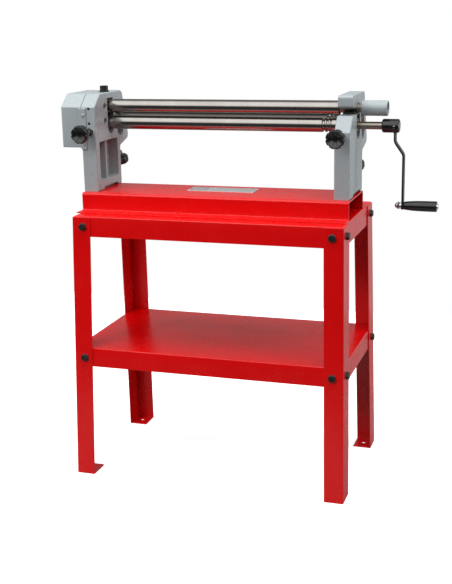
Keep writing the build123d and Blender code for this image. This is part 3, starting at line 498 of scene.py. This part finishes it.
def star_knob(name, at, body, node):
    n = NOTCHES * 24
    rings = []
    for r, s, share in KNOB:
        if r == 0:
            rings.append([Vector((0, 0, s * MM))])
            continue
        ring = []
        for k in range(n):
            a = TAU * k / n
            q = lobed(a, r, share)
            ring.append(Vector((q * math.cos(a), q * math.sin(a), s)) * MM)
        rings.append(ring)
    bm = bmesh.new()
    skin(bm, rings)
    for k in range(NOTCHES):
        turn = Matrix.Rotation(TAU * (k + 0.5) / NOTCHES, 4, "Z")
        rib = []
        for r, low, high in KNOB_RIB:
            across = ((-0.8, low), (-0.8, high - 0.35), (-0.45, high), (0.45, high),
                      (0.8, high - 0.35), (0.8, low))
            rib.append([turn @ (Vector((r, y, z)) * MM) for y, z in across])
        ends = skin(bm, rib)
        bm.faces.new(ends[0])
        bm.faces.new(ends[-1])
    piece(name, bm, at, body, "black_plastic", [node], sharp=50)


def thread(name, at, body, node, low, high, plain, r=6.0, pitch=1.5, tip=1.2):
    """Screw along Z from low to high; plain are the (low, high) stretches without a thread."""
    n, per_turn = 24, 6
    depth = pitch * 0.54
    count = int((high - low - 2 * tip) / pitch * per_turn)
    rings = [[Vector((0, 0, low * MM))], turn_rings([(r - tip, low)], n)[0]]
    for m in range(count + 1):
        s = low + tip + (high - low - 2 * tip) * m / count
        smooth = any(a <= s <= b for a, b in plain)
        ring = []
        for k in range(n):
            phase = (s / pitch - k / n) % 1.0
            cut = 0.0 if smooth else depth * max(0.0, 1.0 - abs(phase - 0.5) * 2.3)
            q = r - 0.02 - cut
            ring.append(Vector((q * math.cos(TAU * k / n), q * math.sin(TAU * k / n), s)) * MM)
        rings.append(ring)
    rings += [turn_rings([(r - tip, high)], n)[0], [Vector((0, 0, high * MM))]]
    bm = bmesh.new()
    skin(bm, rings)
    piece(name, bm, at, body, "machined_steel", [node], sharp=60)


for side, x in SIDES:
    place = frame_at(x, FRONT_KNOB_Y, ADJUSTER_Z, Vector((0, -1, 0)))
    star_knob("star_knob_front_" + side, place, side + "_front_knob", "front_knob_" + side)
    thread("adjusting_screw_front_" + side, place, side + "_front_knob", "front_screw_" + side,
           -94.8, 25.0, ((-2.0, 25.0),))
    down = frame_at(x, SLOT_Y, SLOT_Z, -UP_SLOT)
    knob = down @ Matrix.Translation((0, 0, REAR_KNOB_AT * MM))
    star_knob("star_knob_rear_" + side, knob, side + "_rear_knob", "rear_knob_" + side)
    thread("adjusting_screw_rear_" + side, down, side + "_rear_knob", "rear_screw_" + side,
           8.1, 95.0, ((69.0, 95.0),))


# ------------------------------------------------------------------------------------ crank
HUB = frame_at(0, ROLL_Y, LOW_Z, ALONG)
GRIP_Z = 757.0
GRIP = frame_at(0, ROLL_Y, GRIP_Z, ALONG)
lathe("hub", [(9.9, 429.0), (10.6, 428.0), (14.8, 428.0), (HUB_R, 430.6), (HUB_R, 470.4),
              (14.8, 473.0), (11.2, 473.0), (10.4, 472.2), (9.9, 472.2)],
      HUB, "lower_roll", "black_plastic", ["crank_hub"], 1.4, 96)
lathe("hub_set_screw", [(0, -2.6), (1.9, -2.6), (2.1, -0.2), (3.4, 0.0), (4.0, -0.5), (4.0, -3.0),
                        (0, -3.0)],
      frame_at(460.0, ROLL_Y - HUB_R + 0.2, LOW_Z - 2.6, Vector((0, -1, -0.15))), "lower_roll",
      "chrome", (), 0.3, 24)
lathe("grip_handle", [(5.1, 488.2), (8.6, 488.0), (9.8, 488.5), (10.6, 490.0), (11.3, 495.0),
                      (11.9, 500.0), (13.0, 513.0), (13.5, 524.0), (13.9, 548.0),
                      (13.9, 572.2), (13.3, 574.0), (11.6, 574.5), (8.9, 574.5), (8.4, 573.9),
                      (8.3, 571.8), (5.1, 571.5)],
      GRIP, "grip", "black_plastic", ["crank_grip"], 1.2, 96)
lathe("grip_screw", [(0, 468.2), (4.2, 468.0), (5.0, 468.8), (5.0, 571.8), (7.9, 572.0),
                     (8.0, 573.0), (8.0, 575.2), (7.2, 576.9), (5.4, 577.9), (2.6, 578.3),
                     (0, 578.4)],
      GRIP, "lower_roll", "chrome", ["grip_bolt"], 0.6, 48)


def hex_rings(across, low, high, bore=0.0, n=48, both=False):
    """Hexagon about Z with its crown chamfered, as rings of n points."""
    flat = across / 2
    top = flat * 0.96

    def edge(a):
        return flat / math.cos((a + math.pi / 6) % (math.pi / 3) - math.pi / 6)

    def ring(radius, height):
        out = []
        for k in range(n):
            a = TAU * k / n
            out.append(Vector((radius(a) * math.cos(a), radius(a) * math.sin(a), height(a))) * MM)
        return out

    def slope(a):
        return (edge(a) - top) * 0.55

    rings = [[Vector((0, 0, low * MM))]]
    if both:
        rings += [ring(lambda a: top, lambda a: low),
                  ring(edge, lambda a: low + slope(a))]
    else:
        rings += [ring(edge, lambda a: low)]
    rings += [ring(edge, lambda a: high - slope(a)), ring(lambda a: top, lambda a: high)]
    if bore:
        rings += [ring(lambda a: bore + 0.8, lambda a: high),
                  ring(lambda a: bore, lambda a: high - 0.8),
                  ring(lambda a: bore, lambda a: high - 1.6),
                  [Vector((0, 0, (high - 1.6) * MM))]]
    else:
        rings += [[Vector((0, 0, high * MM))]]
    return rings


cap_nut = bmesh.new()
skin(cap_nut, turn_rings(softened([(0, 480.2), (9.6, 480.2), (10.0, 480.6), (10.0, 482.0),
                                   (9.6, 482.4), (0, 482.4)], 0.2), 48))
skin(cap_nut, turn_rings([(0, 471.0), (6.4, 471.0), (6.4, 480.4), (0, 480.4)], 48))
skin(cap_nut, hex_rings(17.0, 471.4, 477.4, both=True))
dome = [(7.7 * math.cos(math.pi / 2 * k / 8), 471.6 - 7.6 * math.sin(math.pi / 2 * k / 8))
        for k in range(9)]
skin(cap_nut, turn_rings([(0, 473.0), (7.7, 473.0)] + dome[:-1] + [(0, 464.0)], 48))
piece("cap_nut", cap_nut, GRIP, "lower_roll", "chrome", ["grip_nut"], sharp=40)


def arm_ring(p, normal, half, thick=5.0, edge=1.3):
    """Rounded rectangle across the strip: half wide along Y, thick along normal."""
    ring = []
    e = min(edge, half * 0.45)
    for sy, sn, start in ((1, 1, 0.0), (-1, 1, 0.25), (-1, -1, 0.5), (1, -1, 0.75)):
        cy, cn = sy * (half - e), sn * (thick / 2 - e)
        for k in range(4):
            a = TAU * (start + 0.25 * k / 3)
            off = Vector((0, cy + e * math.cos(a), 0)) + normal * (cn + e * math.sin(a))
            ring.append((p + off) * MM)
    return ring


ARM_TOP_X, ARM_LOW_X = 462.0, 485.0
ARM_HALF = 11.0                                            # half the strip's width
ARM_BEND = 6.0                                             # length of strip used by half a bend


def arm():
    """Flat strip from under the hub, cranked outwards, with a round end at the grip."""
    corners = [Vector((ARM_TOP_X, 0, 950.0)), Vector((ARM_TOP_X, 0, 924.0)),
               Vector((ARM_LOW_X, 0, 891.0)), Vector((ARM_LOW_X, 0, GRIP_Z))]
    line = [corners[0]]
    cut = ARM_BEND
    for a, b, c in zip(corners, corners[1:], corners[2:]):
        start, end = b + (a - b).normalized() * cut, b + (c - b).normalized() * cut
        for k in range(9):
            t = k / 8
            line.append(start * (1 - t) ** 2 + b * 2 * t * (1 - t) + end * t * t)
    line.append(corners[-1])
    rings = []
    for k, p in enumerate(line):
        ahead = (line[min(k + 1, len(line) - 1)] - line[max(k - 1, 0)]).normalized()
        normal = Vector((-ahead.z, 0, ahead.x))
        rings.append(arm_ring(p, normal, ARM_HALF))
    for k in range(1, 9):
        d = ARM_HALF * math.sin(math.pi / 2 * k / 8)
        half = max(1.6, ARM_HALF * math.cos(math.pi / 2 * k / 8))
        rings.append(arm_ring(line[-1] - Vector((0, 0, d)), Vector((1, 0, 0)), half))
    bm = bmesh.new()
    made = skin(bm, rings)
    for ring in (made[0], made[-1]):
        bm.faces.new(ring)
    # weld bead round the strip's foot, on the hub's underside
    bead = []
    steps = 96
    power = 0.35                                           # squares the oval off
    for k in range(steps):
        t = TAU * k / steps
        x = ARM_TOP_X + 3.0 * math.copysign(abs(math.cos(t)) ** power, math.cos(t))
        y = 11.3 * math.copysign(abs(math.sin(t)) ** power, math.sin(t))
        z = LOW_Z - math.sqrt(HUB_R ** 2 - y * y)
        bead.append(Vector((x, y, z)))
    tube = []
    for k, p in enumerate(bead):
        ahead = (bead[(k + 1) % steps] - bead[k - 1]).normalized()
        side = ahead.cross(Vector((0, 0, 1))).normalized()
        lift = side.cross(ahead)
        r = 1.7 + 0.22 * math.sin(TAU * k / 4.0)
        tube.append([(p + side * (r * math.cos(TAU * j / 10)) + lift * (r * math.sin(TAU * j / 10)))
                     * MM for j in range(10)])
    skin(bm, tube, closed=True)
    shift = Vector((0, ROLL_Y, 0)) * MM
    for v in bm.verts:
        v.co += shift
    piece("crank_strip", bm, Matrix.Identity(4), "lower_roll", "black_steel", ["crank_arm"],
          sharp=40)


arm()


# ------------------------------------------------------------------- plate, nuts and top bolt
def plate_rings(hx, hy, r, levels, steps=6):
    """Rounded rectangle's rings; levels are (inset, z)."""
    rings = []
    for inset, z in levels:
        ring = []
        for sx, sy, start in ((1, 1, 0.0), (-1, 1, 0.25), (-1, -1, 0.5), (1, -1, 0.75)):
            for k in range(steps + 1):
                a = TAU * (start + 0.25 * k / steps)
                q = max(r - inset, 0.2)
                ring.append(Vector((sx * (hx - r) + q * math.cos(a),
                                    sy * (hy - r) + q * math.sin(a), z)) * MM)
        rings.append(ring)
    return rings


PLATE = Matrix.Translation(Vector((-9.0, 10.0, BASE_TOP)) * MM)
badge = bmesh.new()
made = skin(badge, plate_rings(95.0, 31.0, 3.0, ((0, 0.02), (0, 0.75), (0.12, 0.93), (0.35, 1.0))))
badge.faces.new(made[0])
badge.faces.new(made[-1])
piece("blank_plate", badge, PLATE, "frame", "label", ["label_plate"])
rivets = bmesh.new()
for x in (-90.0, 90.0):
    for y in (-26.0, 26.0):
        rings = turn_rings([(0, 0.9), (2.3, 0.9), (2.3, 1.1), (2.0, 1.6), (1.2, 1.95), (0, 2.05)],
                           20)
        skin(rivets, [[p + Vector((x, y, 0)) * MM for p in ring] for ring in rings])
piece("plate_rivets", rivets, PLATE, "frame", "chrome", [])

nuts = bmesh.new()
for side, x in SIDES:
    made = skin(nuts, hex_rings(19.0, 0.05, 10.0, bore=6.1))
    move = frame_at(x, CASTING_FRONT, ADJUSTER_Z, Vector((0, -1, 0)))
    for ring in made:
        for v in ring:
            v.co = move @ v.co
piece("jam_nuts", nuts, Matrix.Identity(4), "frame", "black_steel", ["front_lock_nuts"], sharp=30)

bolt = bmesh.new()
skin(bolt, hex_rings(20.0, 3.1, 17.3))
skin(bolt, turn_rings([(0, -18.8), (5.2, -18.8), (6.0, -18.0), (6.0, 3.3), (0, 3.3)], 32))
skin(bolt, turn_rings([(0, 17.2), (8.2, 17.2), (7.6, 17.5), (0, 17.6)], 48))
piece("clamp_hex_bolt", bolt, Matrix.Translation(Vector((-355.5, ROLL_Y, 1048.0)) * MM), "frame",
      "black_steel", ["clamp_bolt"], sharp=30)


# -------------------------------------------------------------------------- floor, light, camera
def floor():
    bm = bmesh.new()
    for x, y in ((-2.4, -1.1), (2.4, -1.1), (2.4, 1.6), (-2.4, 1.6)):
        bm.verts.new((x, y, -0.0004))
    bm.faces.new(bm.verts)
    mesh = bpy.data.meshes.new("floor")
    bm.to_mesh(mesh)
    bm.free()
    obj = bpy.data.objects.new("floor", mesh)
    look = Look("floor_card", Base_Color=rgb(0.9, 0.9, 0.9), Roughness=0.9,
                Emission_Color=rgb(1, 1, 1), Emission_Strength=0.62)
    look.shader.inputs["Specular IOR Level"].default_value = 0.0
    dim = look.add("ShaderNodeBsdfDiffuse")
    dim.inputs["Color"].default_value = rgb(0.28, 0.28, 0.28)
    path = look.add("ShaderNodeLightPath")
    pick = look.add("ShaderNodeMixShader")
    look.link(path.outputs["Is Camera Ray"], pick.inputs[0])
    look.link(dim.outputs[0], pick.inputs[1])
    look.link(look.shader.outputs[0], pick.inputs[2])
    look.link(pick.outputs[0], look.tree.nodes["Material Output"].inputs["Surface"])
    mesh.materials.append(look.m)
    bpy.context.scene.collection.objects.link(obj)


def soft_light(name, at, aim, size, power, glossy=True):
    lamp = bpy.data.lights.new(name, "AREA")
    lamp.shape = "RECTANGLE"
    lamp.size, lamp.size_y = size
    lamp.energy = power
    obj = bpy.data.objects.new(name, lamp)
    obj.location = at
    obj.rotation_euler = (Vector(aim) - Vector(at)).to_track_quat("-Z", "Y").to_euler()
    obj.visible_glossy = glossy
    bpy.context.scene.collection.objects.link(obj)


def studio():
    """White to the camera; for light, bright above the front, grey behind, dark low in front.

    Reflections see it twice as bright, as the lamps themselves leave none."""
    world = bpy.data.worlds.new("studio")
    bpy.context.scene.world = world
    world.use_nodes = True
    tree = world.node_tree
    tree.nodes.clear()

    def node(kind, **settings):
        n = tree.nodes.new(kind)
        for key, value in settings.items():
            setattr(n, key, value)
        return n

    def span(value, from_low, from_high, low, high):
        n = node("ShaderNodeMapRange", interpolation_type="SMOOTHSTEP")
        for key, v in (("From Min", from_low), ("From Max", from_high), ("To Min", low),
                       ("To Max", high)):
            n.inputs[key].default_value = v
        tree.links.new(value, n.inputs["Value"])
        return n.outputs["Result"]

    def maths(kind, a, b):
        n = node("ShaderNodeMath", operation=kind)
        for socket, v in zip(n.inputs, (a, b)):
            if isinstance(v, (int, float)):
                socket.default_value = v
            else:
                tree.links.new(v, socket)
        return n.outputs[0]

    way = node("ShaderNodeSeparateXYZ")
    tree.links.new(node("ShaderNodeTexCoord").outputs["Generated"], way.inputs[0])
    high = span(way.outputs["Z"], 0.10, 0.45, 0.0, 1.0)
    back = span(way.outputs["Y"], -0.25, 0.35, 0.0, 1.0)
    right = span(way.outputs["X"], 0.0, 0.30, 0.0, 1.0)
    front_part = maths("ADD", 0.03, maths("MULTIPLY", high, 1.05))
    back_part = maths("ADD", 0.14, maths("MULTIPLY", right, 0.14))
    light = maths("ADD", maths("MULTIPLY", front_part, maths("SUBTRACT", 1.0, back)),
                  maths("MULTIPLY", back_part, back))
    soft = node("ShaderNodeBackground")
    soft.inputs["Color"].default_value = rgb(1, 1, 1)
    path = node("ShaderNodeLightPath")
    shine = maths("ADD", 1.0, maths("MULTIPLY", path.outputs["Is Glossy Ray"], 1.1))
    tree.links.new(maths("MULTIPLY", light, shine), soft.inputs["Strength"])
    white = node("ShaderNodeBackground")
    white.inputs["Color"].default_value = rgb(1, 1, 1)
    white.inputs["Strength"].default_value = 1.0
    pick = node("ShaderNodeMixShader")
    tree.links.new(path.outputs["Is Camera Ray"], pick.inputs[0])
    tree.links.new(soft.outputs[0], pick.inputs[1])
    tree.links.new(white.outputs[0], pick.inputs[2])
    tree.links.new(pick.outputs[0], node("ShaderNodeOutputWorld").inputs["Surface"])


def camera():
    """The photograph's view: 36 mm sensor, almost level, rolled by little over a degree."""
    at, aim = Vector((0.9181, -2.7858, 1.2758)), Vector((-0.0032, 0.0, 0.4957))
    roll_by = math.radians(-1.204)
    ahead = (aim - at).normalized()
    right = ahead.cross(Vector((0, 0, 1))).normalized()
    up = right.cross(ahead)
    x = right * math.cos(roll_by) + up * math.sin(roll_by)
    y = up * math.cos(roll_by) - right * math.sin(roll_by)
    lens = bpy.data.cameras.new("camera")
    lens.sensor_width = 36.0
    lens.lens = 66.53
    obj = bpy.data.objects.new("camera", lens)
    turn = Matrix((x, y, -ahead)).transposed().to_4x4()
    obj.matrix_world = Matrix.Translation(at) @ turn
    bpy.context.scene.collection.objects.link(obj)
    bpy.context.scene.camera = obj


floor()
studio()
soft_light("overhead", (0.0, 0.0, 2.55), (0.0, 0.0, 0.0), (4.2, 1.9), 70.0, glossy=False)
soft_light("key", (-1.6, -3.0, 2.4), (0.0, 0.0, 0.6), (1.8, 1.4), 57.0, glossy=False)
soft_light("side", (3.2, 0.6, 0.9), (0.36, 0.0, 0.9), (0.7, 0.7), 20.0)
camera()
scene = bpy.context.scene
scene.view_settings.view_transform = "Standard"
scene.view_settings.look = "None"
scene.view_settings.exposure = 0.0
